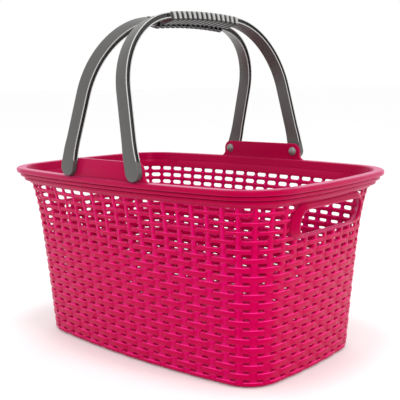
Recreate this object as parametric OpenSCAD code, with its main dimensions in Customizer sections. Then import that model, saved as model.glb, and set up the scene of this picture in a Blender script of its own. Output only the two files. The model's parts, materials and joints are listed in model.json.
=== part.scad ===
// Hand shopping basket: one moulded tub with a stepped rim, two swing handles and their pivot studs.
// Millimetres, Z up. Origin: centre of the base, on the surface the basket stands on.
// X runs along the basket, Y across it.

/* [Rim] */
// Length over the rim lip
rim_length = 460; // [380:1:560]
// Width over the rim lip
rim_width = 315; // [260:1:380]
// Height of the rim above the standing surface
rim_height = 225; // [160:1:300]
// Corner radius of the lip, seen from above
rim_corner = 70; // [50:1:110]
// Bow radius of the long sides
bow_long = 1080; // [800:10:4000]
// Bow radius of the short ends
bow_short = 660; // [500:10:4000]
// Height of the three-step rim band
rim_band = 20; // [14:1:30]
// Width of the flat land on top of the rim
rim_land = 12; // [8:0.5:16]

/* [Tub] */
// Length of the base
base_length = 376; // [300:1:460]
// Width of the base
base_width = 234; // [180:1:300]
// Corner radius of the base
base_corner = 42; // [30:1:80]
// Wall thickness
wall = 2.5; // [2:0.5:5]
// Floor thickness
floor_t = 3; // [2:0.5:6]
// Share of the flare that falls in the upper part of the wall
flare = 0.4; // [0:0.05:0.6]

/* [Hand holes] */
// Length of the hand hole in each end
hole_length = 122; // [70:1:130]
// Height of the hand hole
hole_height = 27.5; // [24:0.5:32]
// Distance from the rim top to the middle of the hand hole
hole_drop = 41.5; // [41:0.5:60]
// Width of the smooth border round the hand hole
border = 6; // [4:0.5:6]
// How far the border stands out from the wall
border_lift = 4.5; // [1:0.5:6]

/* [Handle tabs] */
// Radius of the tab corners round the pivots
tab_corner = 10.5; // [8:0.5:11]
// Radius of the fillets where the tab meets the rim
tab_fillet = 8; // [3:0.5:10]
// Height of each tab above the rim
tab_height = 22; // [16:1:32]
// Tab thickness
tab_t = 4.5; // [3:0.5:8]
// Distance of a tab's inner face from the middle of the basket
tab_inner = 146.6; // [120:0.1:170]

/* [Handles] */
// Distance from the middle of the basket to each pivot line
pivot_x = 55.5; // [40:0.5:80]
// Height of the pivots above the rim
pivot_rise = 11.5; // [11:0.5:16]
// Pivot to the middle of the grip
handle_reach = 179.5; // [140:0.5:240]
// Width of the handle strap
strap_w = 17.5; // [15:0.5:20]
// Thickness of the handle strap
strap_t = 7; // [6:0.5:12]
// Radius of the round feet that carry the pivots
foot_r = 10.5; // [9.5:0.5:11]
// Inward slope of the handle arms
arm_slope = 5; // [0:0.5:20]
// Radius of the handle shoulders
shoulder_r = 96; // [40:1:110]
// Radius of the arched top of the handle
crown_r = 670; // [150:10:900]
// Length of the ribbed grip
grip_length = 124; // [90:1:150]
// Width of the ribbed grip
grip_w = 22; // [19:0.5:23]
// Depth of the ribbed grip
grip_h = 12; // [11:0.5:14]
// Number of ribs on each grip
rib_count = 14; // [8:1:18]

/* [Pivots] */
// Stud shaft diameter
stud_d = 7; // [5:0.5:10]
// Stud head diameter
head_d = 12; // [9:0.5:14]
// Running clearance on the radius
pivot_gap = 0.08; // [0.02:0.01:0.1]

/* [Rest position] */
// Inward lean of the left handle
lean_left = 16.3; // [0:0.1:25]
// Inward lean of the right handle
lean_right = 11.7; // [0:0.1:25]

/* [Hidden] */
$fn = 64;
moulded = "#c4103f";
grey = "#6b6a66";
lip_a = rim_length / 2;
lip_b = rim_width / 2;
band_z = rim_height - rim_band;
tab_outer = tab_inner + tab_t;
arm_inner = tab_outer + 0.5;
arm_mid = arm_inner + strap_t / 2;
pivot_z = rim_height + pivot_rise;
straight_run = 22;
hole_r = 11;
stud_depth = 5;
foot_taper = 34;
groove_half = 2;
groove_depth = 2.5;
// How far the middle of the grip lies inside the middle of the strap
grip_drop = 1.2;
rib_t = 4.9;
rib_r = 5;
rib_gap = 2.2;
dome_h = 4;
// Half length of the cutters that pass through an end wall
end_reach = 14;
hole_z = rim_height - hole_drop;
foot_inset = 1;
// Heights of the wall's rings, with how far the outer and the inner face are drawn in at each
levels = [[floor_t, foot_inset, wall + 5], [floor_t + 5, 0, wall], [60, 0, wall], [110, 0, wall],
    [150, 0, wall], [180, 0, wall], [band_z, 0, wall]];

// Outline of the tub seen from above: two bowed sides, two bowed ends and tangent corners.
// inset moves the whole outline inward by an equal distance.
function corner_centre(a, b, r) =
    let (
        p = [0, b - bow_long],
        q = [a - bow_short, 0],
        d1 = bow_long - r,
        d2 = bow_short - r,
        v = q - p,
        l = norm(v),
        k = (d1 * d1 - d2 * d2 + l * l) / (2 * l),
        h = sqrt(d1 * d1 - k * k),
        m = p + v * k / l
    )
    m + [abs(v[1]), abs(v[0])] * h / l;

function quarter(a, b, r) =
    let (
        c = corner_centre(a, b, r),
        y1 = b - bow_long,
        x2 = a - bow_short,
        t2 = atan2(c[1], c[0] - x2),
        t1 = atan2(c[1] - y1, c[0])
    )
    concat(
        [for (i = [0 : 2]) let (t = t2 * i / 3) [x2 + bow_short * cos(t), bow_short * sin(t)]],
        [for (i = [0 : 9]) let (t = t2 + (t1 - t2) * i / 9) c + r * [cos(t), sin(t)]],
        [for (i = [1 : 4]) let (t = t1 + (90 - t1) * i / 4) [bow_long * cos(t), y1 + bow_long * sin(t)]]
    );

function outline(a, b, r) =
    let (q = quarter(a, b, r), n = len(q))
    concat(
        q,
        [for (i = [n - 2 : -1 : 0]) [-q[i][0], q[i][1]]],
        [for (i = [1 : n - 1]) [-q[i][0], -q[i][1]]],
        [for (i = [n - 2 : -1 : 1]) [q[i][0], -q[i][1]]]
    );

function ring(a, b, r, z) = [for (p = outline(a, b, r)) [p[0], p[1], z]];

// Share of the way from the base outline to the rim outline at height z.
function share(z) =
    let (t = z / rim_height)
    (1 - flare) * t + flare * pow(t, 5);

function mix(p, q, k) = p + (q - p) * k;

function wall_a(z) = mix(base_length / 2, lip_a - rim_land, share(z));

function wall_b(z) = mix(base_width / 2, lip_b - rim_land, share(z));

function wall_r(z) = mix(base_corner, rim_corner - rim_land, share(z));

function wall_ring(z, inset) = ring(wall_a(z) - inset, wall_b(z) - inset, wall_r(z) - inset, z);

function lip_ring(inset, z) = ring(lip_a - inset, lip_b - inset, rim_corner - inset, z);

function flat(v) = [for (row = v) for (p = row) p];

// Quads between ring j and ring k of n points each.
function band_faces(j, k, n) = [for (i = [0 : n - 1])
    [j * n + i, k * n + i, k * n + (i + 1) % n, j * n + (i + 1) % n]];

// Solid bounded by a stack of rings, closed at its first and last ring.
module stacked(rings) {
    n = len(rings[0]);
    m = len(rings);
    polyhedron(
        points = flat(rings),
        faces = concat(
            [[for (i = [0 : n - 1]) i]],
            flat([for (j = [0 : m - 2]) band_faces(j, j + 1, n)]),
            [[for (i = [n - 1 : -1 : 0]) (m - 1) * n + i]]
        ),
        convexity = 6
    );
}

// Endless band whose cross-section is the given loop of rings.
module looped(rings) {
    n = len(rings[0]);
    m = len(rings);
    polyhedron(
        points = flat(rings),
        faces = flat([for (j = [0 : m - 1]) band_faces(j, (j + 1) % m, n)]),
        convexity = 6
    );
}

function rounded(w, h, r) = [for (c = [[1, 1, 0], [-1, 1, 90], [-1, -1, 180], [1, -1, 270]])
    for (i = [0 : 8])
        [c[0] * (w / 2 - r) + r * cos(c[2] + i * 90 / 8), c[1] * (h / 2 - r) + r * sin(c[2] + i * 90 / 8)]];

// Stands its children on the end wall at the hand hole, X square to the slope; side is 1 or -1.
module on_end(side) {
    slope = atan((wall_a(hole_z + 10) - wall_a(hole_z - 10)) / 20);
    translate([side * wall_a(hole_z), 0, hole_z])
        rotate([0, side > 0 ? slope : 180 - slope, 0])
            children();
}

// Rounded bar through the end wall, m larger all round than the hand hole and standing out by out.
module end_bar(side, m, reach, out) {
    on_end(side)
        translate([-reach, 0, 0])
            rotate([90, 0, 90])
                linear_extrude(reach + out)
                    polygon(rounded(hole_length + 2 * m, hole_height + 2 * m, hole_r + m));
}

// Floor of the tub, up to the foot of the walls.
module tub_floor() {
    color(moulded)
        stacked([wall_ring(0, 5), wall_ring(1.5, 1.5), wall_ring(floor_t, foot_inset)]);
}

// Stretch of the tapering wall between two points of the outline, closed at its two ends.
// Point 0 is on the +X axis and the points run anticlockwise.
module wall_panel(first, last) {
    s = last - first + 1;
    m = len(levels);
    outer = [for (v = levels) wall_ring(v[0], v[1])];
    inner = [for (v = levels) wall_ring(v[0], v[2])];
    n = len(outer[0]);
    in = m * s;
    polyhedron(
        points = concat(
            [for (row = outer) for (i = [first : last]) row[i % n]],
            [for (row = inner) for (i = [first : last]) row[i % n]]
        ),
        faces = concat(
            [for (j = [0 : m - 2]) for (i = [0 : s - 2]) let (a = j * s + i, b = a + s)
                [a, b, b + 1, a + 1]],
            [for (j = [0 : m - 2]) for (i = [0 : s - 2]) let (a = in + j * s + i, b = a + s)
                [a, a + 1, b + 1, b]],
            [for (i = [0 : s - 2]) let (a = (m - 1) * s + i) [a, in + a, in + a + 1, a + 1]],
            [for (i = [0 : s - 2]) [i, i + 1, in + i + 1, in + i]],
            [for (j = [0 : m - 2]) let (a = j * s, b = a + s) each
                [[a, in + a, in + b], [a, in + b, b]]],
            [for (j = [0 : m - 2]) let (a = (j + 1) * s - 1, b = a + s) each
                [[a, in + b, in + a], [a, b, in + b]]]
        ),
        convexity = 6
    );
}

// Long side wall between its corners; side is 1 for the rear.
module side_wall(side) {
    middle = side > 0 ? 16 : 48;
    color(moulded)
        wall_panel(middle - 4, middle + 4);
}

// End wall with its two corners, cut out for the hand-hole frame; side is 1 or -1.
module end_wall(side) {
    middle = side > 0 ? 64 : 32;
    color(moulded)
        difference() {
            wall_panel(middle - 12, middle + 12);
            end_bar(side, border, end_reach, end_reach);
        }
}

module front_wall() {
    side_wall(-1);
}

module rear_wall() {
    side_wall(1);
}

module left_end_wall() {
    end_wall(-1);
}

module right_end_wall() {
    end_wall(1);
}

// Rim: lip and two steps below it, flaring out of the wall.
module rim() {
    z = rim_height;
    color(moulded)
        looped([
            wall_ring(band_z, 0),
            lip_ring(10.6, z - 15.5),
            lip_ring(10.4, z - 12),
            lip_ring(5.5, z - 10),
            lip_ring(5.2, z - 6.8),
            lip_ring(0.6, z - 4.8),
            lip_ring(0, z - 3.4),
            lip_ring(0.9, z - 0.9),
            lip_ring(3, z),
            lip_ring(rim_land, z),
            lip_ring(rim_land + 0.8, z - 1),
            lip_ring(rim_land + 4, z - 10),
            wall_ring(band_z, wall)
        ]);
}

// Smooth border of a hand hole, flat in front and bowed like the wall behind; side is 1 or -1.
module hand_hole_frame(side) {
    color(moulded)
        difference() {
            end_bar(side, border, end_reach, border_lift);
            on_end(side)
                translate([-bow_short, 0, 0])
                    cylinder(r = bow_short - wall - 0.5, h = 5 * hole_height, center = true, $fn = 360);
            end_bar(side, 0, end_reach + 1, end_reach);
        }
}

module left_hand_hole_frame() {
    hand_hole_frame(-1);
}

module right_hand_hole_frame() {
    hand_hole_frame(1);
}

// Tab outline: straight top, corners round the pivots, fillets onto the rim.
module tab_outline() {
    half = pivot_x + tab_corner;
    difference() {
        union() {
            translate([-half - tab_fillet, 0])
                square([2 * (half + tab_fillet), tab_fillet]);
            translate([-half, 0])
                square([2 * half, tab_height - tab_corner]);
            translate([-pivot_x, 0])
                square([2 * pivot_x, tab_height]);
            for (side = [-1, 1])
                translate([side * pivot_x, tab_height - tab_corner])
                    circle(r = tab_corner);
        }
        for (side = [-1, 1]) {
            translate([side * (half + tab_fillet), tab_fillet])
                circle(r = tab_fillet);
            translate([side * pivot_x, pivot_rise])
                circle(r = stud_d / 2 + pivot_gap);
        }
    }
}

// Tab on one long side with the two pivot bores; side is 1 for the rear.
module tab(side) {
    color(moulded)
        translate([0, side > 0 ? tab_outer : -tab_inner, rim_height])
            rotate([90, 0, 0])
                linear_extrude(tab_t)
                    tab_outline();
}

module front_tab() {
    tab(-1);
}

module rear_tab() {
    tab(1);
}

// Half of the handle curve, moved outward by o from its middle line; the pivot is at height 0.
function bail_half(o, low) =
    let (
        u = [-sin(arm_slope), cos(arm_slope)],
        b = [arm_mid, straight_run] - shoulder_r * [u[1], -u[0]],
        t = [0, handle_reach - crown_r],
        w = b - t,
        bb = w * u,
        k = -bb + sqrt(bb * bb - w * w + (crown_r - shoulder_r) * (crown_r - shoulder_r)),
        c = b + u * k,
        a1 = atan2(c[1] - t[1], c[0] - t[0])
    )
    concat(
        [[arm_mid + o, low], [arm_mid + o, straight_run + o * tan(arm_slope / 2)]],
        [for (i = [0 : 20]) let (a = arm_slope + (a1 - arm_slope) * i / 20)
            c + (shoulder_r + o) * [cos(a), sin(a)]],
        [for (i = [1 : 8]) let (a = a1 + (90 - a1) * i / 8) t + (crown_r + o) * [cos(a), sin(a)]]
    );

function mirrored(h) = concat(h, [for (i = [len(h) - 2 : -1 : 0]) [-h[i][0], h[i][1]]]);

function reversed(v) = [for (i = [len(v) - 1 : -1 : 0]) v[i]];

// Bent strip between two offsets of the handle curve, w wide.
module strip(o1, o2, low, w) {
    rotate([90, 0, 90])
        linear_extrude(w, center = true)
            polygon(concat(mirrored(bail_half(o2, low)), reversed(mirrored(bail_half(o1, low)))));
}

// Round foot of an arm, tapering to the width of the strap.
module foot_outline() {
    circle(r = foot_r);
    polygon([[-foot_r, 1], [foot_r, 1], [strap_w / 2, foot_taper], [-strap_w / 2, foot_taper]]);
}

// Space over the length of the grip, with a margin m at each end.
module grip_zone(m) {
    translate([-30, -grip_length / 2 - m, 100])
        cube([60, grip_length + 2 * m, 200]);
}

// Handle standing upright on its pivot line, before it leans.
module bail() {
    difference() {
        union() {
            difference() {
                strip(-strap_t / 2, strap_t / 2, 0, strap_w);
                difference() {
                    for (side = [-1, 1])
                        translate([side * (strap_w / 2 + 5 - groove_depth) - 5, -200, foot_taper])
                            cube([10, 400, 300]);
                    grip_zone(3);
                    strip(-60, -groove_half, -20, 60);
                    strip(groove_half, 60, -20, 60);
                }
            }
            for (side = [-1, 1])
                translate([0, side * arm_mid, 0])
                    rotate([90, 0, 0])
                        linear_extrude(strap_t, center = true)
                            foot_outline();
            intersection() {
                strip(-grip_h / 2 - grip_drop + rib_gap, grip_h / 2 - grip_drop - rib_gap, 0,
                    grip_w - 2 * rib_gap);
                grip_zone(3);
            }
            for (i = [0 : rib_count - 1])
                translate([0, 0, handle_reach - crown_r])
                    rotate([(i - (rib_count - 1) / 2) * grip_length / rib_count / crown_r * 180 / PI, 0, 0])
                        translate([0, rib_t / 2, crown_r - grip_drop])
                            rotate([90, 0, 0])
                                linear_extrude(rib_t)
                                    polygon(rounded(grip_w, grip_h, rib_r));
        }
        for (side = [-1, 1])
            translate([0, side * (arm_inner + stud_depth), 0])
                rotate([side * 90, 0, 0])
                    cylinder(d = stud_d, h = 30);
    }
}

// Puts a handle part on its pivot line and leans it inward; side is 1 for the right handle.
module hung(side) {
    translate([side * pivot_x, 0, pivot_z])
        rotate([0, side > 0 ? -lean_right : lean_left, 0])
            children();
}

module left_handle() {
    color(grey)
        hung(-1)
            bail();
}

module right_handle() {
    color(grey)
        hung(1)
            bail();
}

// Pivot stud: domed head inside the tab and a shaft into the handle arm.
module stud(side, end) {
    dome_r = (head_d * head_d / 4 + dome_h * dome_h) / (2 * dome_h);
    color(grey)
        hung(side)
            translate([0, end * (tab_inner - 0.3), 0])
                rotate([end * -90, 0, 0]) {
                    cylinder(d = stud_d, h = arm_inner + stud_depth - tab_inner + 0.3);
                    intersection() {
                        translate([0, 0, dome_r - dome_h])
                            sphere(r = dome_r);
                        translate([0, 0, -dome_h - 1])
                            cylinder(d = head_d + 2, h = dome_h + 1);
                    }
                }
}

module left_front_stud() {
    stud(-1, -1);
}

module left_rear_stud() {
    stud(-1, 1);
}

module right_front_stud() {
    stud(1, -1);
}

module right_rear_stud() {
    stud(1, 1);
}

tub_floor();
front_wall();
rear_wall();
left_end_wall();
right_end_wall();
rim();
front_tab();
rear_tab();
left_hand_hole_frame();
right_hand_hole_frame();
left_handle();
right_handle();
left_front_stud();
left_rear_stud();
right_front_stud();
right_rear_stud();
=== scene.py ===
"""Hand shopping basket with woven-look walls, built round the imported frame.

Lengths are in millimetres in the sums below and in metres in the meshes.
"""

import json
import math

import bpy
import numpy as np
from mathutils import Matrix, Vector

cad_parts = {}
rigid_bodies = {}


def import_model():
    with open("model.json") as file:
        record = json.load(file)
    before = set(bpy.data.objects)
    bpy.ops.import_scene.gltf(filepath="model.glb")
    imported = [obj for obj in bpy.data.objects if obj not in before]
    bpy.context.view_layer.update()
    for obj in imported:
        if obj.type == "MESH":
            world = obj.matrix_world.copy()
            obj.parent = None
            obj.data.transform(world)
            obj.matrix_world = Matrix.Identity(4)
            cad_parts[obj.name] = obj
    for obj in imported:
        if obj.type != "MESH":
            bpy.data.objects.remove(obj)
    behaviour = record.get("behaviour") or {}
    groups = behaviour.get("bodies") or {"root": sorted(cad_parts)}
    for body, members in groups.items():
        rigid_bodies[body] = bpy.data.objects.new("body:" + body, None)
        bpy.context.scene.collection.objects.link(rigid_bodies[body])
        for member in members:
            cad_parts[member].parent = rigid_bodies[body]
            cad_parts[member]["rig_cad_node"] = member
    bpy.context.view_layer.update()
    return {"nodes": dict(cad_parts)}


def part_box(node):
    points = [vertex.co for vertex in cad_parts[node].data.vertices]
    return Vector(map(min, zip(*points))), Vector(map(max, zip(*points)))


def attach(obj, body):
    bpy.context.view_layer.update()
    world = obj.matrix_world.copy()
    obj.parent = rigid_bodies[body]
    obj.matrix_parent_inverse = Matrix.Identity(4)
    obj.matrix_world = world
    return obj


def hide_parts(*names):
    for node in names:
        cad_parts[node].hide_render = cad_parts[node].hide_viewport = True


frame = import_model()
MM = 0.001

# ---- Driving dimensions: the frame's own where a node gives them ----
RIM_LOW, RIM_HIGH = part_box("rim")
LIP_A, LIP_B, RIM_Z = (v / MM for v in RIM_HIGH)
BAND_Z = RIM_LOW.z / MM
LIP_R = 70.0
RIM_LAND = 12.0
BOW_LONG = 1080.0
BOW_SHORT = 660.0
BASE_A, BASE_B, BASE_R = 188.0, 117.0, 42.0
FLARE = 0.4

# Weave
POSTS = 64
ROWS = 20
WEAVE_LOW = 3.5
# How far the wall runs up behind the rim band
TOP_TUCK = 2.0
# Share of the relief that is lost in the open top rows
TOP_CALM = 0.45
# Exponent of the slot's rounded outline: 2 is an ellipse
SLOT_ROUND = 2.3
# Shares of a cell that the holes take low on the wall, and how much more in the top rows
HOLE_WIDE, HOLE_WIDER = 0.44, 0.38
HOLE_TALL, HOLE_TALLER = 0.24, 0.40
# Shares of the wall's height where the holes start to open, and over which they do
OPEN_FROM, OPEN_OVER = 0.56, 0.29
# Half widths of the steep flanks beside a strand and a post, in cells
STRAND_FLANK, POST_FLANK = 0.055, 0.022
# Drop at the edges of strands and of posts, and a set-back of the whole post
STRAND_EDGE, POST_EDGE, POST_SINK = 0.6, 0.4, 0.3
# Grid lines in one cell of the weave
STEPS = 8
WALL_MID = -2.0
PLY = 0.5
STRAND_LIFT = 2.4
POST_LIFT = 1.9
DIVE = 1.0
INNER_SHARE = 0.65
LIP_HALF = 0.4

# Hand holes
HOLE_LENGTH, HOLE_HEIGHT, HOLE_R = 122.0, 27.5, 11.0
HOLE_BORDER = 6.0
HOLE_LIFT = 4.5
HOLE_Z = RIM_Z - 41.5

# Handles
PIVOT_X = 55.5
PIVOT_Z = RIM_Z + 11.5
TAB_INNER, TAB_T, TAB_H = 146.6, 4.5, 22.0
TAB_CORNER, TAB_FILLET = 10.5, 8.0
STRAP_W, STRAP_T = 17.5, 7.0
FOOT_R, FOOT_TAPER = 10.5, 34.0
GROOVE_HALF, GROOVE_DEPTH, GROOVE_START = 2.0, 2.5, 12.0
ARM_MID = TAB_INNER + TAB_T + 0.5 + STRAP_T / 2
ARM_SLOPE = math.radians(5)
STRAIGHT_RUN = 22.0
SHOULDER_R, CROWN_R = 96.0, 670.0
HANDLE_REACH = 179.5
GRIP_LENGTH, GRIP_W, GRIP_H = 124.0, 22.0, 12.0
GRIP_DROP = 1.2
RIB_GAP = 2.6
RIBS = 14
LEAN_LEFT, LEAN_RIGHT = math.radians(16.3), math.radians(11.7)


# ---- Mesh helpers ----
# Most of a side that one corner's rounding may use
NEAR_HALF = 0.49


def make_mesh(name, points, faces, sharp=35.0, painted_light=None):
    """A smooth-shaded object from points in millimetres."""
    mesh = bpy.data.meshes.new(name)
    mesh.from_pydata((np.asarray(points) * MM).tolist(), [], faces)
    mesh.validate()
    # Per-point painted light and shade for the material: painted highlights on lit edges, painted shade
    # in creases and a painted glow on thin plastic.
    if painted_light is not None:
        layer = mesh.attributes.new("painted_light", "FLOAT", "POINT")
        layer.data.foreach_set("value", np.asarray(painted_light, np.float32))
    mesh.polygons.foreach_set("use_smooth", [True] * len(mesh.polygons))
    mesh.set_sharp_from_angle(angle=math.radians(sharp))
    mesh.update()
    piece = bpy.data.objects.new(name, mesh)
    bpy.context.scene.collection.objects.link(piece)
    return piece


def skin(rings, closed):
    """Quads over rings of equal length; closed joins the last ring to the first."""
    count, size = len(rings), len(rings[0])
    faces = []
    for j in range(count if closed else count - 1):
        k = (j + 1) % count
        for i in range(size):
            n = (i + 1) % size
            faces.append((j * size + i, j * size + n, k * size + n, k * size + i))
    if not closed:
        faces.append(tuple(range(size - 1, -1, -1)))
        faces.append(tuple((count - 1) * size + i for i in range(size)))
    return np.concatenate(rings), faces


def rounded_path(corners, radii, steps=4):
    """Closed outline through the corners, each rounded to its radius."""
    corners = np.asarray(corners, float)
    out = []
    for i, corner in enumerate(corners):
        before = corners[i - 1] - corner
        after = corners[(i + 1) % len(corners)] - corner
        la, lb = np.linalg.norm(before), np.linalg.norm(after)
        before, after = before / la, after / lb
        half = math.acos(np.clip(before @ after, -1, 1)) / 2
        reach = radii[i] / max(math.tan(half), 1e-6)
        reach = min(reach, NEAR_HALF * min(la, lb))
        if reach <= 0:
            out.append(corner)
            continue
        for t in np.linspace(0, 1, steps + 1):
            out.append((1 - t) ** 2 * (corner + before * reach) + 2 * t * (1 - t) * corner
                       + t * t * (corner + after * reach))
    return np.array(out)


# ---- Outline of the tub ----
def corner_centre(a, b, r):
    """Centre of the corner arc of radius r that touches the bowed side and the bowed end."""
    p = np.array([0.0, b - BOW_LONG])
    q = np.array([a - BOW_SHORT, 0.0])
    d1, d2 = BOW_LONG - r, BOW_SHORT - r
    v = q - p
    length = np.hypot(v[0], v[1])
    k = (d1 ** 2 - d2 ** 2 + length ** 2) / (2 * length)
    h = math.sqrt(d1 ** 2 - k ** 2)
    return p + v * k / length + np.abs(v[::-1]) * h / length


def arc_limits(a, b, r):
    """Corner centre, and the angles where the end arc stops and the side arc starts."""
    c = corner_centre(a, b, r)
    end = math.atan2(c[1], c[0] - (a - BOW_SHORT))
    side = math.atan2(c[1] - (b - BOW_LONG), c[0])
    return c, end, side


def share(z):
    """How far the outline has grown from base to rim at height z, from 0 to 1."""
    t = z / RIM_Z
    return (1 - FLARE) * t + FLARE * t ** 5


def wall_size(z):
    """Half length, half width and corner radius of the wall's outer face at height z."""
    k = share(z)
    a = BASE_A + (LIP_A - RIM_LAND - BASE_A) * k
    b = BASE_B + (LIP_B - RIM_LAND - BASE_B) * k
    r = BASE_R + (LIP_R - RIM_LAND - BASE_R) * k
    return a, b, r


def quarter_shares(a, b, r):
    """Where the end arc and the corner arc stop, as shares of a quarter of the outline."""
    _, end, side = arc_limits(a, b, r)
    lengths = np.array([BOW_SHORT * end, r * (side - end), BOW_LONG * (math.pi / 2 - side)])
    return np.cumsum(lengths)[:2] / lengths.sum()


END_SHARE, CORNER_SHARE = quarter_shares(*wall_size(BAND_Z))


def outline(a, b, r, turn):
    """Points and outward normals at turn, in quarters anticlockwise from the +X axis."""
    turn = np.asarray(turn, float) % 4
    quadrant = np.floor(turn).astype(int)
    local = turn - quadrant
    s = np.where(quadrant % 2 == 1, 1 - local, local)
    c, end, side = arc_limits(a, b, r)
    on_end, on_corner = s < END_SHARE, s < CORNER_SHARE
    at_end = end * s / END_SHARE
    at_corner = end + (side - end) * (s - END_SHARE) / (CORNER_SHARE - END_SHARE)
    at_side = side + (math.pi / 2 - side) * (s - CORNER_SHARE) / (1 - CORNER_SHARE)
    angle = np.select([on_end, on_corner], [at_end, at_corner], at_side)
    radius = np.select([on_end, on_corner], [BOW_SHORT, r], BOW_LONG)
    cx = np.select([on_end, on_corner], [a - BOW_SHORT, c[0]], 0.0)
    cy = np.select([on_end, on_corner], [0.0, c[1]], b - BOW_LONG)
    normal = np.stack([np.cos(angle), np.sin(angle)], -1)
    point = np.stack([cx, cy], -1) + radius[..., None] * normal
    sign = np.stack([np.where((quadrant == 1) | (quadrant == 2), -1, 1),
                     np.where(quadrant >= 2, -1, 1)], -1)
    return point * sign, normal * sign


def loop_at(size, inset, z, turn):
    """Ring of the outline of that size, drawn in by inset, at height z."""
    a, b, r = size
    flat, _ = outline(a - inset, b - inset, r - inset, turn)
    return np.column_stack([flat, np.full(len(flat), z)])


# ---- Woven-look walls ----
def wave(t):
    """Distance from t to the nearest even number."""
    t = np.mod(t, 2)
    return np.minimum(t, 2 - t)


def relief(u, v, in_strand, in_post, strand, post, edge_v, edge_u, shift):
    """Height of the weave over its ply, as seen from one side; shift 1 swaps over and under."""
    x = wave(u - strand - shift)
    y = wave(v - post - 1 - shift)
    over = STRAND_LIFT * (1 - x ** 6) - DIVE * x ** 6 - STRAND_EDGE * edge_v ** 6
    upright = POST_LIFT * (1 - y ** 5) - POST_SINK - POST_EDGE * edge_u ** 6
    both = np.maximum(over, upright)
    return np.select([in_strand & in_post, in_strand, in_post], [both, over, upright], 0.0)


def openness(row):
    """How far the holes have opened out in that row: 0 low on the wall, 1 in the top rows."""
    return np.clip((row / ROWS - OPEN_FROM) / OPEN_OVER, 0, 1)


def hole_share(row):
    """Width and height of the holes in that row, as shares of the cell."""
    k = openness(row)
    return HOLE_WIDE + HOLE_WIDER * k, HOLE_TALL + HOLE_TALLER * k


def weave_panel(name, first, last, painted_glow, cut=None):
    """Closed wall from post first to post last; cut(points) is true where the wall is left out.

    Its glow value, from 0 to 1, sets how much painted glow the thin places get: a lighter colour
    standing in for light that comes through them.
    """
    lines = STEPS * ROWS + 1
    stops = STEPS * (last - first) + 1
    line, stop = np.arange(lines)[:, None], np.arange(stops)[None, :]
    row, step = line // STEPS, line % STEPS
    cell, place = stop // STEPS, stop % STEPS
    _, tall = hole_share(row + 0.5)
    strand_half = (1 - tall) / 2
    v = row + np.select(
        [step == 0, step == 1, step == 2, step == 3, step == 4, step == 5, step == 6],
        [0 * strand_half, 0.6 * strand_half, strand_half - STRAND_FLANK, strand_half + STRAND_FLANK,
         0.5 + 0 * strand_half, 1 - strand_half - STRAND_FLANK, 1 - strand_half + STRAND_FLANK],
        1 - 0.6 * strand_half)
    wide, _ = hole_share(v)
    post_half = (1 - wide) / 2
    inner = wide / 2 * 0.52
    u = first + cell + np.select(
        [place == 0, place == 1, place == 2, place == 3, place == 4, place == 5, place == 6],
        [0 * post_half, post_half - POST_FLANK, post_half + POST_FLANK, 0.5 - inner, 0.5 + 0 * post_half,
         0.5 + inner, 1 - post_half - POST_FLANK],
        1 - post_half + POST_FLANK)
    v = np.broadcast_to(v, u.shape)
    in_strand = np.broadcast_to((step <= 2) | (step >= 6), u.shape)
    in_post = np.broadcast_to((place <= 1) | (place == 7), u.shape)
    strand = row + (step >= 6)
    post = first + cell + (place == 7)
    edge_v = np.clip(np.abs(v - strand) / strand_half, 0, 1)
    edge_u = np.clip(np.abs(u - post) / post_half, 0, 1)
    args = (u, v, in_strand, in_post, strand, post, edge_v, edge_u)
    calm = 1 - TOP_CALM * openness(v)
    outside, inside = calm * relief(*args, 0), calm * relief(*args, 1)
    in_hole = ~in_strand & ~in_post
    d_out = np.where(in_hole, WALL_MID + LIP_HALF, WALL_MID + PLY + outside)
    d_in = np.where(in_hole, WALL_MID - LIP_HALF, WALL_MID - PLY - INNER_SHARE * inside)
    # Hole edges, drawn in to a rounded slot
    hu, hv = (u - first - cell - 0.5) / (wide / 2), (v - row - 0.5) / (tall / 2)
    pull = (np.abs(hu) ** SLOT_ROUND + np.abs(hv) ** SLOT_ROUND + 1e-9) ** (-1 / SLOT_ROUND)
    pull = np.where(in_hole & (pull < 1), pull, 1)
    u = np.where(in_hole, first + cell + 0.5 + hu * pull * wide / 2, u)
    v = np.where(in_hole, row + 0.5 + hv * pull * tall / 2, v)
    z = WEAVE_LOW + (BAND_Z + TOP_TUCK - WEAVE_LOW) * v / ROWS
    outer, back = np.zeros((lines, stops, 3)), np.zeros((lines, stops, 3))
    flat, normal = outline_at(u, z)
    outer[..., :2] = flat + normal * d_out[..., None]
    back[..., :2] = flat + normal * d_in[..., None]
    outer[..., 2] = back[..., 2] = z
    keep = np.ones((lines - 1, stops - 1), bool)
    r, c = np.arange(lines - 1)[:, None] % STEPS, np.arange(stops - 1)[None, :] % STEPS
    keep &= ~((r >= 3) & (r <= 4) & (c >= 2) & (c <= 5))
    if cut is not None:
        gone = cut(outer)
        keep &= ~(gone[:-1, :-1] | gone[1:, :-1] | gone[:-1, 1:] | gone[1:, 1:])
    tone = weave_light_and_shade(wave(u - strand), in_strand, in_post, step, painted_glow)
    return solid_from_grids(name, outer, back, keep, tone)


def weave_light_and_shade(along, in_strand, in_post, step, painted_glow):
    """Painted light and shade of the weave: 0 is painted shade in the crevices, 0.35 is a brick, 0.65 is
    the painted glow of the thin places and 1 is a painted highlight on a lit edge.
    """
    raised = in_strand & (along < 0.74)
    # Posts get the painted glow, the strands next to them a little less, and the holes painted shade.
    painted_light = 0.35 + 0.2 * painted_glow
    tone = np.where(in_post, painted_light, np.where(in_strand, painted_light - 0.1, 0.1))
    tone = np.where(raised, 0.35, tone)
    # Painted highlight along the top ledge of a brick.
    tone = np.where(raised & (step == 2), 0.95, tone)
    # Painted shade along the lower edge of a brick.
    tone = np.where(raised & (step == 6), 0.16, tone)
    # Painted shade where a strand dives under a post.
    return np.where(in_strand & (along >= 0.74) & (along < 0.9), 0.12, tone)


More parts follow.
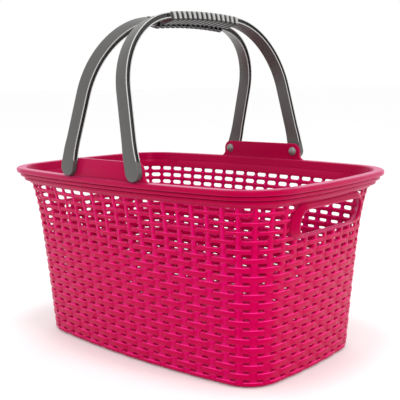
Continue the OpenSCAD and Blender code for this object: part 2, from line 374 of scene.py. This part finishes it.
def outline_at(u, z):
    """Points and normals on the wall's outer face, for arrays of posts and heights."""
    flat, normal = np.zeros(u.shape + (2,)), np.zeros(u.shape + (2,))
    level = np.round(z, 4)
    for height in np.unique(level):
        here = level == height
        flat[here], normal[here] = outline(*wall_size(height), u[here] * 4 / POSTS)
    return flat, normal


def solid_from_grids(name, outer, back, keep, painted_light):
    """Closed solid between two grids, with a wall round every quad that isn't kept."""
    lines, stops = outer.shape[:2]
    index = np.arange(lines * stops).reshape(lines, stops)
    inner = index + lines * stops
    a, b = index[:-1, :-1], index[:-1, 1:]
    c, d = index[1:, 1:], index[1:, :-1]
    shift = lines * stops
    faces = [np.stack([a, b, c, d], -1)[keep],
             np.stack([a, d, c, b], -1)[keep] + shift]
    padded = np.zeros((lines + 1, stops + 1), bool)
    padded[1:-1, 1:-1] = keep
    above, below = padded[1:, 1:-1], padded[:-1, 1:-1]
    left, right = index[:, :-1], index[:, 1:]
    lower, upper = above & ~below, below & ~above
    faces.append(np.stack([right, left, left + shift, right + shift], -1)[lower])
    faces.append(np.stack([left, right, right + shift, left + shift], -1)[upper])
    east, west = padded[1:-1, 1:], padded[1:-1, :-1]
    low, high = index[:-1, :], index[1:, :]
    starts, ends = east & ~west, west & ~east
    faces.append(np.stack([low, high, high + shift, low + shift], -1)[starts])
    faces.append(np.stack([high, low, low + shift, high + shift], -1)[ends])
    faces = np.concatenate(faces)
    points = np.concatenate([outer.reshape(-1, 3), back.reshape(-1, 3)])
    values = np.concatenate([painted_light.ravel(), painted_light.ravel()])
    used = np.unique(faces)
    renumber = np.zeros(len(points), int)
    renumber[used] = np.arange(len(used))
    return make_mesh(name, points[used], renumber[faces].tolist(), 50.0, values[used])


# ---- Hand-hole frames ----
HOLE_TILT = math.atan((wall_size(HOLE_Z + 10)[0] - wall_size(HOLE_Z - 10)[0]) / 20)


def inside_rounded(p, q, half_p, half_q, r):
    """True inside a rounded rectangle of those half sides and corner radius."""
    dp = np.maximum(np.abs(p) - (half_p - r), 0)
    dq = np.maximum(np.abs(q) - (half_q - r), 0)
    return np.hypot(dp, dq) < r


def under_frame(points):
    """True well inside a hand-hole frame's border."""
    lap_p, lap_q = 4.5, 2.5
    up = (points[..., 2] - HOLE_Z) / math.cos(HOLE_TILT)
    return inside_rounded(points[..., 1], up, HOLE_LENGTH / 2 + lap_p, HOLE_HEIGHT / 2 + lap_q,
                          HOLE_R + lap_q)


def hand_hole_frame(name, side):
    """Smooth border swept round the opening, following the bowed and tilted end wall."""
    count = 24
    quarter = np.linspace(0, math.pi / 2, count + 1)[:-1]
    path, normals = [], []
    for k, (sp, sq) in enumerate([(1, 1), (-1, 1), (-1, -1), (1, -1)]):
        angle = quarter + k * math.pi / 2
        unit = np.column_stack([np.cos(angle), np.sin(angle)])
        corner = np.array([sp * (HOLE_LENGTH / 2 - HOLE_R), sq * (HOLE_HEIGHT / 2 - HOLE_R)])
        path.append(corner + HOLE_R * unit)
        normals.append(unit)
    path, normals = np.concatenate(path), np.concatenate(normals)
    border = rounded_path(
        [(0, 1.4), (5.0, -2.4), (HOLE_BORDER, -4.6), (HOLE_BORDER + 0.3, 0.8), (HOLE_BORDER - 1.5, 2.2),
         (1.3, HOLE_LIFT), (0, HOLE_LIFT - 0.3)],
        [0.6, 1.0, 0.8, 0.8, 1.5, 1.0, 0.6])
    spread = 1 + 0.4 * normals[:, 0] ** 2 + 0.3 * np.maximum(normals[:, 1], 0) ** 2
    rings = []
    for across, lift in border:
        flat = path + normals * (across * spread)[:, None]
        z = HOLE_Z + flat[:, 1] * math.cos(HOLE_TILT)
        a = wall_size(z)[0]
        sine = flat[:, 0] / BOW_SHORT
        face = 1.0 if across < 1.4 else max(lift, 0) / HOLE_LIFT
        cosine = np.sqrt(1 - sine ** 2)
        x = a - BOW_SHORT + (BOW_SHORT + lift) * cosine + face * BOW_SHORT * (1 - cosine)
        y = (BOW_SHORT + lift) * sine
        rings.append(np.column_stack([side * x, side * y, z]))
    points, faces = skin(rings, True)
    return make_mesh(name, points, faces, 60.0)


# ---- Rim ----
def rim_piece():
    """Stepped rim with its land, swept round the whole outline as one closed band."""
    turn = np.linspace(0, 4, 257)[:-1]
    z = RIM_Z
    steps = rounded_path(
        [(14.5, z - 17.0), (10.2, z - 16.6), (9.8, z - 12.9), (12.0, z - 11.3), (5.2, z - 11.1),
         (4.8, z - 7.6), (7.0, z - 6.0), (0.5, z - 5.8), (0, z - 1.5), (2, z), (12, z), (13.2, z - 1.2),
         (15.6, z - 10)],
        [0.8, 1.2, 1.0, 0.4, 1.0, 1.0, 0.4, 1.2, 1.6, 1.6, 1.2, 1.0, 3.0])
    lip = (LIP_A, LIP_B, LIP_R)
    band = wall_size(BAND_Z)
    rings = [loop_at(band, -0.9, BAND_Z - 0.6, turn)]
    rings += [loop_at(lip, inset, height, turn) for inset, height in steps]
    rings += [loop_at(band, 4.6, BAND_Z + 1, turn), loop_at(band, 4.6, BAND_Z - 0.6, turn)]
    points, faces = skin(rings, True)
    return make_mesh("rim_band", points, faces, 45.0)


# ---- Floor ----
def floor_piece():
    """Floor with a rounded foot ring, closed inside and below."""
    turn = np.linspace(0, 4, 193)[:-1]
    base = (BASE_A, BASE_B, BASE_R)
    profile = [(34, 1.2), (30, 1.0), (28, 0), (7, 0), (4, 0.35), (2, 1.2), (0.9, 2.6), (0.5, 4.4),
               (1.2, 5.6), (3.4, 5.8), (4.8, 5.2), (6.5, 3.9), (9.5, 3.2), (13, 3.0)]
    rings = [loop_at(base, inset, height, turn) for inset, height in profile]
    points, faces = skin(rings, False)
    return make_mesh("basket_floor", points, faces, 40.0)


# ---- Handle tabs ----
def tab_shape():
    """Outline of a tab: fillets onto the rim and round corners about the pivots."""
    half = PIVOT_X + TAB_CORNER
    right = [(half + TAB_FILLET, -1.0), (half + TAB_FILLET, 0.05)]
    for t in np.linspace(-math.pi / 2, -math.pi, 9)[1:]:
        right.append((half + TAB_FILLET * (1 + math.cos(t)), TAB_FILLET * (1 + math.sin(t))))
    for t in np.linspace(0, math.pi / 2, 13):
        right.append((PIVOT_X + TAB_CORNER * math.cos(t), TAB_H - TAB_CORNER + TAB_CORNER * math.sin(t)))
    return np.array(right + [(-x, y) for x, y in right[::-1]])


def offset_inward(shape, amount):
    """The outline moved inward along its own normals."""
    before, after = np.roll(shape, 1, 0), np.roll(shape, -1, 0)
    t = after - before
    t /= np.linalg.norm(t, axis=1)[:, None]
    return shape + amount * np.column_stack([-t[:, 1], t[:, 0]])


def tab_piece(name, side):
    """Handle tab with rounded edges; side is 1 for the rear."""
    shape = tab_shape()
    edge = 1.1
    rings = []
    for t in np.linspace(0, math.pi / 2, 5):
        rings.append((offset_inward(shape, edge * (1 - math.sin(t))), edge * (1 - math.cos(t))))
    for t in np.linspace(math.pi / 2, 0, 5):
        rings.append((offset_inward(shape, edge * (1 - math.sin(t))), TAB_T - edge * (1 - math.cos(t))))
    near = TAB_INNER if side > 0 else -TAB_INNER - TAB_T
    loops = [np.column_stack([s[:, 0], np.full(len(s), near + depth), RIM_Z + s[:, 1]])
             for s, depth in rings]
    points, faces = skin(loops, False)
    return make_mesh(name, points, [f[::-1] for f in faces], 45.0)


# ---- Handles ----
def bail_line():
    """Middle line of the handle from one foot to the other, with outward normals, and its length."""
    u = np.array([-math.sin(ARM_SLOPE), math.cos(ARM_SLOPE)])
    b = np.array([ARM_MID, STRAIGHT_RUN]) - SHOULDER_R * np.array([u[1], -u[0]])
    t = np.array([0.0, HANDLE_REACH - CROWN_R])
    w = b - t
    k = -(w @ u) + math.sqrt((w @ u) ** 2 - w @ w + (CROWN_R - SHOULDER_R) ** 2)
    c = b + u * k
    a1 = math.atan2(c[1] - t[1], c[0] - t[0])
    points, normals = [], []
    for z in np.linspace(-FOOT_R, STRAIGHT_RUN - 1, 22):
        points.append((ARM_MID, z))
        normals.append((1.0, 0.0))
    start = np.array([ARM_MID, STRAIGHT_RUN])
    stop = c + SHOULDER_R * np.array([math.cos(ARM_SLOPE), math.sin(ARM_SLOPE)])
    for s in np.linspace(0.03, 0.97, 14):
        points.append(tuple(start + (stop - start) * s))
        normals.append((math.cos(ARM_SLOPE), math.sin(ARM_SLOPE)))
    for angle in np.linspace(ARM_SLOPE, a1, 34):
        n = np.array([math.cos(angle), math.sin(angle)])
        points.append(tuple(c + SHOULDER_R * n))
        normals.append(tuple(n))
    grip_angle = (GRIP_LENGTH / 2 + 4) / CROWN_R
    for angle in np.linspace(a1, math.pi / 2 - grip_angle, 6)[1:]:
        n = np.array([math.cos(angle), math.sin(angle)])
        points.append(tuple(t + CROWN_R * n))
        normals.append(tuple(n))
    half = len(points)
    for s in grip_stations():
        angle = math.pi / 2 - s / CROWN_R
        n = np.array([math.cos(angle), math.sin(angle)])
        points.append(tuple(t + CROWN_R * n))
        normals.append(tuple(n))
    for i in range(half - 1, -1, -1):
        points.append((-points[i][0], points[i][1]))
        normals.append((-normals[i][0], normals[i][1]))
    return np.array(points), np.array(normals), half


RIB_PITCH = GRIP_LENGTH / RIBS
RIB_PLACES = (0.03, 0.16, 0.20, 0.25, 0.36, 0.48, 0.60, 0.71, 0.76, 0.80)


def grip_stations():
    """Distances along the grip, from its +Y end to its -Y end."""
    out = [GRIP_LENGTH / 2 + 2.0, GRIP_LENGTH / 2 + 0.8]
    for rib in range(RIBS):
        top = GRIP_LENGTH / 2 - rib * RIB_PITCH
        out += [top - place * RIB_PITCH for place in RIB_PLACES]
    return out + [-GRIP_LENGTH / 2 - 0.8, -GRIP_LENGTH / 2 - 2.0]


def strap_section():
    """Cross-section of the strap as (across, outward), inner side first, anticlockwise."""
    w, t = STRAP_W / 2, STRAP_T / 2
    groove, deep = GROOVE_HALF, GROOVE_DEPTH
    return rounded_path(
        [(-w, -t), (w, -t), (w, -groove), (w - deep, -groove), (w - deep, groove), (w, groove),
         (w, t), (-w, t), (-w, groove), (-w + deep, groove), (-w + deep, -groove), (-w, -groove)],
        [1.2, 1.2, 1.2, 0.5, 0.5, 1.2, 1.5, 1.5, 1.2, 0.5, 0.5, 1.2], 4)


def grip_section(rise, pocket):
    """Cross-section of the grip, point for point with strap_section.

    rise is the height of a rib there, from 0 to 1, and pocket the depth of the recess in the
    side that faces the other handle, from 0 to 1.
    """
    w, t = GRIP_W / 2, GRIP_H / 2
    low = RIB_GAP * (1 - rise)
    out, top, bottom = w - low, t - GRIP_DROP - 0.3 - 0.7 * low, -t - GRIP_DROP + 0.7 * low
    back = -w + 1.4
    deep = back + 3.6 * pocket
    return rounded_path(
        [(back, bottom), (out, bottom), (out, -4.9), (out + 0.02, -4.7), (out + 0.02, -4.3),
         (out, -4.1), (out, top), (back, top), (back, 1.8), (deep, 1.6), (deep, -4.2), (back, -4.4)],
        [1.6, 2.6, 0.6, 0.3, 0.3, 0.6, 4.2, 2.0, 0.2, 0.2, 0.2, 0.2], 4)


def rib_rise(place):
    """Height of the ribs at that share of the rib pitch."""
    return float(np.clip(min(place - 0.17, 0.79 - place) / 0.07, 0, 1))


def strap_light_and_shade():
    """Painted light and shade of strap_section, point for point: painted highlights on the beads beside
    a groove in painted shade.
    """
    into, out_of = [0.4, 0.8, 1.0, 1.0, 1.0], [1.0, 1.0, 1.0, 0.8, 0.4]
    fall, climb, dark = [1.0, 1.0, 0.7, 0.3, 0.0], [0.0, 0.3, 0.7, 1.0, 1.0], [0.0] * 5
    edge = fall + dark + dark + climb
    return np.array(out_of + into + edge + out_of + into + edge)


def grip_light_and_shade(rise, pocket):
    """Painted light and shade of grip_section: painted highlights on the ribs, painted shade in the
    gaps, and deeper painted shade in the pockets and on the underside.
    """
    corner, underside_shade = 5, 0.15
    tone = np.full(12 * corner, 0.05 + 0.85 * rise)
    # Painted shade on the underside.
    tone[:2 * corner] *= underside_shade
    # Painted shade in the pockets.
    tone[9 * corner:11 * corner] *= 1 - pocket
    return tone


def handle_piece(name, side):
    """Swing handle in its lean at rest: grooved strap, round feet and ribbed grip."""
    line, normal, half = bail_line()
    strap = strap_section()
    stations = grip_stations()
    rings, tones = [], []
    for i, (p, n) in enumerate(zip(line, normal)):
        k = i - half
        section, tone = strap.copy(), strap_light_and_shade()
        if 0 <= k < len(stations):
            place = (GRIP_LENGTH / 2 - stations[k]) / RIB_PITCH % 1.0
            inside = abs(stations[k]) < GRIP_LENGTH / 2
            rise = rib_rise(place) if inside else 0.0
            pocket = 1.0 if inside and 0.2 < place < 0.8 else 0.0
            grip = grip_section(rise, pocket)
            blend = 1.0 if inside else (0.5 if abs(stations[k]) < GRIP_LENGTH / 2 + 1 else 0.0)
            section = strap * (1 - blend) + grip * blend
            tone = tone * (1 - blend) + grip_light_and_shade(rise, pocket) * blend
        height = line[i][1]
        if height < FOOT_TAPER and not 0 <= k < len(stations):
            section[:, 0] *= max(foot_half_width(height), 0.2) / (STRAP_W / 2)
        if height < GROOVE_START:
            fill = np.clip((GROOVE_START - height) / 2.5, 0, 1)
            section = section * (1 - fill) + plain_section(strap, section) * fill
            tone = tone * (1 - fill) + 0.4 * fill
        across, out = section[:, 0], section[:, 1]
        y, z = p[0] + n[0] * out, p[1] + n[1] * out
        rings.append(np.column_stack([side * across, y, z]))
        tones.append(tone)
    points, faces = skin(rings, False)
    if side > 0:
        faces = [f[::-1] for f in faces]
    piece = make_mesh(name, points, faces, 38.0, np.concatenate(tones))
    lean = -LEAN_RIGHT if side > 0 else LEAN_LEFT
    pivot = Vector((side * PIVOT_X, 0, PIVOT_Z)) * MM
    piece.data.transform(Matrix.Translation(pivot) @ Matrix.Rotation(lean, 4, "Y"))
    return piece


def foot_half_width(height):
    """Half width of an arm near its pivot: a round foot that tapers to the strap."""
    if height < 0:
        return math.sqrt(max(FOOT_R ** 2 - height ** 2, 0.0))
    return FOOT_R + (STRAP_W / 2 - FOOT_R) * height / FOOT_TAPER


def plain_section(strap, section):
    """The strap's section with its side grooves closed."""
    out = section.copy()
    width = np.abs(section[:, 0]).max()
    groove = (np.abs(strap[:, 1]) < 2.8) & (np.abs(strap[:, 0]) > 5)
    out[groove, 0] = np.sign(strap[groove, 0]) * width
    return out


# ---- Materials ----
# Painted shade for crevices and painted highlight for lit edges, mixed into the weave's base colour.
CREVICE_SHADE = (0.34, 0.0, 0.045)
LIT_EDGE = (0.90, 0.06, 0.24)
SHEEN_TINT = (1.0, 0.16, 0.5)
SHEEN_ROUGHNESS = 0.45


def node(tree, kind, place, **settings):
    made = tree.nodes.new(kind)
    made.location = place
    for key, value in settings.items():
        setattr(made, key, value)
    return made


def moulded_material(name, deep, light, roughness, mottle=55.0, grain=900.0, bump=0.08,
                     painted_light=False, tint=(1.0, 0.05, 0.25), gloss=0.2, crevice_shade=CREVICE_SHADE, edge=LIT_EDGE,
                     sheen=0.0):
    """Moulded plastic: two tones that drift over the surface, a fine grain and a soft gloss."""
    material = bpy.data.materials.new(name)
    material.use_nodes = True
    tree = material.node_tree
    shader = tree.nodes["Principled BSDF"]
    shader.inputs["IOR"].default_value = 1.5
    shader.inputs["Specular Tint"].default_value = (*tint, 1)
    shader.inputs["Specular IOR Level"].default_value = gloss
    shader.inputs["Sheen Weight"].default_value = sheen
    shader.inputs["Sheen Roughness"].default_value = SHEEN_ROUGHNESS
    shader.inputs["Sheen Tint"].default_value = (*SHEEN_TINT, 1)
    place = node(tree, "ShaderNodeTexCoord", (-1100, 0))
    drift = node(tree, "ShaderNodeTexNoise", (-900, 120))
    drift.inputs["Scale"].default_value = mottle
    drift.inputs["Detail"].default_value = 3.0
    tree.links.new(place.outputs["Object"], drift.inputs["Vector"])
    tones = node(tree, "ShaderNodeValToRGB", (-700, 120))
    low, high = tones.color_ramp.elements
    low.position, high.position = 0.3, 0.72
    low.color = (*deep, 1)
    high.color = (*[d + (li - d) * 0.2 for d, li in zip(deep, light)], 1)
    tree.links.new(drift.outputs["Fac"], tones.inputs["Fac"])
    colour = tones.outputs["Color"]
    # Where asked, painted light and shade from the mesh attribute: painted shade in crevices and
    # grooves, the painted glow of thin places and painted highlights on lit edges, mixed over the
    # drifting tones.
    if painted_light:
        layer = node(tree, "ShaderNodeAttribute", (-700, -120), attribute_name="painted_light")
        steps = node(tree, "ShaderNodeValToRGB", (-700, -320))
        steps.color_ramp.elements[0].color = (*crevice_shade, 1)
        steps.color_ramp.elements[1].color = (*edge, 1)
        steps.color_ramp.elements.new(0.35).color = (*deep, 1)
        steps.color_ramp.elements.new(0.65).color = (*light, 1)
        tree.links.new(layer.outputs["Fac"], steps.inputs["Fac"])
        blend = node(tree, "ShaderNodeMix", (-400, 60), data_type="RGBA")
        blend.inputs["Factor"].default_value = 0.8
        tree.links.new(colour, blend.inputs["A"])
        tree.links.new(steps.outputs["Color"], blend.inputs["B"])
        colour = blend.outputs["Result"]
    tree.links.new(colour, shader.inputs["Base Color"])
    fine = node(tree, "ShaderNodeTexNoise", (-900, -300))
    fine.inputs["Scale"].default_value = grain
    fine.inputs["Detail"].default_value = 2.0
    tree.links.new(place.outputs["Object"], fine.inputs["Vector"])
    dull = node(tree, "ShaderNodeMapRange", (-600, -300))
    dull.inputs["To Min"].default_value = roughness - 0.06
    dull.inputs["To Max"].default_value = roughness + 0.08
    tree.links.new(fine.outputs["Fac"], dull.inputs["Value"])
    tree.links.new(dull.outputs["Result"], shader.inputs["Roughness"])
    relief_node = node(tree, "ShaderNodeBump", (-400, -420))
    relief_node.inputs["Strength"].default_value = bump
    relief_node.inputs["Distance"].default_value = 0.0004
    tree.links.new(fine.outputs["Fac"], relief_node.inputs["Height"])
    tree.links.new(relief_node.outputs["Normal"], shader.inputs["Normal"])
    return material


def dress(piece, material, body, slot, *replaced):
    """Gives a piece its material and, if it is new, its body, and hides the CAD nodes it stands for. It
    takes a slot, which is not used.
    """
    piece.data.materials.clear()
    piece.data.materials.append(material)
    if "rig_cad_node" not in piece:
        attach(piece, body)
    if replaced:
        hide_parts(*replaced)
    return piece


# ---- The basket ----
# The weave's paler colour is mostly the painted glow of its thin places.
weave = moulded_material("woven_plastic", (0.43, 0.0, 0.050), (0.62, 0.0, 0.15), 0.34,
                         mottle=22.0, painted_light=True)
smooth = moulded_material("smooth_plastic", (0.33, 0.0, 0.034), (0.40, 0.0, 0.050), 0.22,
                          mottle=9.0, bump=0.03, gloss=0.15, sheen=0.5)
# The handles' crevice colour is painted shade for grooves and gaps; their edge colour is a painted
# highlight for beads and ribs.
grey = moulded_material("handle_plastic", (0.064, 0.062, 0.060), (0.09, 0.088, 0.085), 0.30,
                        mottle=60.0, grain=1400.0, bump=0.06, painted_light=True, tint=(1.0, 1.0, 1.0), gloss=0.5,
                        crevice_shade=(0.008, 0.007, 0.008), edge=(0.55, 0.55, 0.54))
stud_grey = moulded_material("stud_plastic", (0.15, 0.145, 0.14), (0.22, 0.215, 0.21), 0.20,
                             mottle=60.0, grain=1400.0, bump=0.06, tint=(1.0, 1.0, 1.0), gloss=0.8)

QUARTER = POSTS // 4
CORNER_POST = 7
# The long walls get the full painted glow, the end walls less of it.
dress(weave_panel("right_end_weave", -CORNER_POST, CORNER_POST, 0.3, under_frame), weave, "basket",
      "pink_plastic", "right_end_wall")
dress(weave_panel("rear_weave", CORNER_POST, 2 * QUARTER - CORNER_POST, 1.0), weave, "basket",
      "pink_plastic", "rear_wall")
dress(weave_panel("left_end_weave", 2 * QUARTER - CORNER_POST, 2 * QUARTER + CORNER_POST, 0.3,
                  under_frame), weave, "basket", "pink_plastic", "left_end_wall")
dress(weave_panel("front_weave", 2 * QUARTER + CORNER_POST, POSTS - CORNER_POST, 1.0), weave, "basket",
      "pink_plastic", "front_wall")
dress(floor_piece(), smooth, "basket", "pink_plastic", "tub_floor")
dress(rim_piece(), smooth, "basket", "pink_plastic", "rim")
dress(hand_hole_frame("right_hand_hole_border", 1), smooth, "basket", "pink_plastic",
      "right_hand_hole_frame")
dress(hand_hole_frame("left_hand_hole_border", -1), smooth, "basket", "pink_plastic",
      "left_hand_hole_frame")
dress(tab_piece("front_handle_tab", -1), smooth, "basket", "pink_plastic", "front_tab")
dress(tab_piece("rear_handle_tab", 1), smooth, "basket", "pink_plastic", "rear_tab")
dress(handle_piece("left_swing_handle", -1), grey, "left_handle_body", "grey_plastic", "left_handle")
dress(handle_piece("right_swing_handle", 1), grey, "right_handle_body", "grey_plastic", "right_handle")
for end in ("left_front", "left_rear", "right_front", "right_rear"):
    dress(frame["nodes"][end + "_stud"], stud_grey, None, None)


# ---- Stage, light and camera ----
def stage_floor():
    """Plain pale ground under the basket."""
    material = bpy.data.materials.new("stage_paint")
    material.use_nodes = True
    shader = material.node_tree.nodes["Principled BSDF"]
    shader.inputs["Base Color"].default_value = (0.985, 0.985, 0.985, 1)
    shader.inputs["Roughness"].default_value = 0.9
    reach = 40000.0
    ground = make_mesh("stage_ground", [(-reach, -reach, -0.2), (reach, -reach, -0.2),
                                        (reach, reach, -0.2), (-reach, reach, -0.2)], [(0, 1, 2, 3)])
    ground.data.materials.append(material)


def softbox(name, place, target, size, power):
    """Round area light at place, facing target."""
    lamp = bpy.data.lights.new(name, "AREA")
    lamp.shape = "DISK"
    lamp.size = size
    lamp.energy = power
    holder = bpy.data.objects.new(name, lamp)
    bpy.context.scene.collection.objects.link(holder)
    holder.location = place
    holder.rotation_mode = "QUATERNION"
    holder.rotation_quaternion = (Vector(target) - Vector(place)).to_track_quat("-Z", "Y")


def studio():
    """White surroundings and three soft lights."""
    world = bpy.data.worlds.new("studio")
    world.use_nodes = True
    world.node_tree.nodes["Background"].inputs["Color"].default_value = (1, 1, 1, 1)
    world.node_tree.nodes["Background"].inputs["Strength"].default_value = 1.0
    bpy.context.scene.world = world
    bpy.context.scene.view_settings.view_transform = "Standard"
    softbox("key", (1.3, -1.5, 1.2), (0, 0, 0.2), 0.4, 13)
    softbox("side", (2.2, 0.4, 0.9), (0, 0, 0.2), 0.5, 9)
    softbox("top", (0.2, -0.3, 2.2), (0, 0, 0.15), 0.5, 9)


CAMERA_AZIMUTH = math.radians(41.75)
CAMERA_ELEVATION = math.radians(8.8)
CAMERA_ROLL = math.radians(-0.92)
CAMERA_DISTANCE = 979.86
CAMERA_SLIDE = 10.12
CAMERA_HEIGHT = 181.46
LENS = 67.75


def camera():
    """Camera at the viewing angle, aimed at a point near the middle of the basket."""
    back = Vector((math.sin(CAMERA_AZIMUTH) * math.cos(CAMERA_ELEVATION),
                   -math.cos(CAMERA_AZIMUTH) * math.cos(CAMERA_ELEVATION),
                   math.sin(CAMERA_ELEVATION)))
    across = Vector((math.cos(CAMERA_AZIMUTH), math.sin(CAMERA_AZIMUTH), 0))
    upright = back.cross(across)
    right = across * math.cos(CAMERA_ROLL) + upright * math.sin(CAMERA_ROLL)
    up = back.cross(right)
    target = across * CAMERA_SLIDE + Vector((0, 0, CAMERA_HEIGHT))
    data = bpy.data.cameras.new("camera")
    data.sensor_width = 36
    data.lens = LENS
    holder = bpy.data.objects.new("camera", data)
    bpy.context.scene.collection.objects.link(holder)
    turn = Matrix((right, up, back)).transposed().to_4x4()
    holder.matrix_world = Matrix.Translation((target + back * CAMERA_DISTANCE) * MM) @ turn
    bpy.context.scene.camera = holder


stage_floor()
studio()
camera()
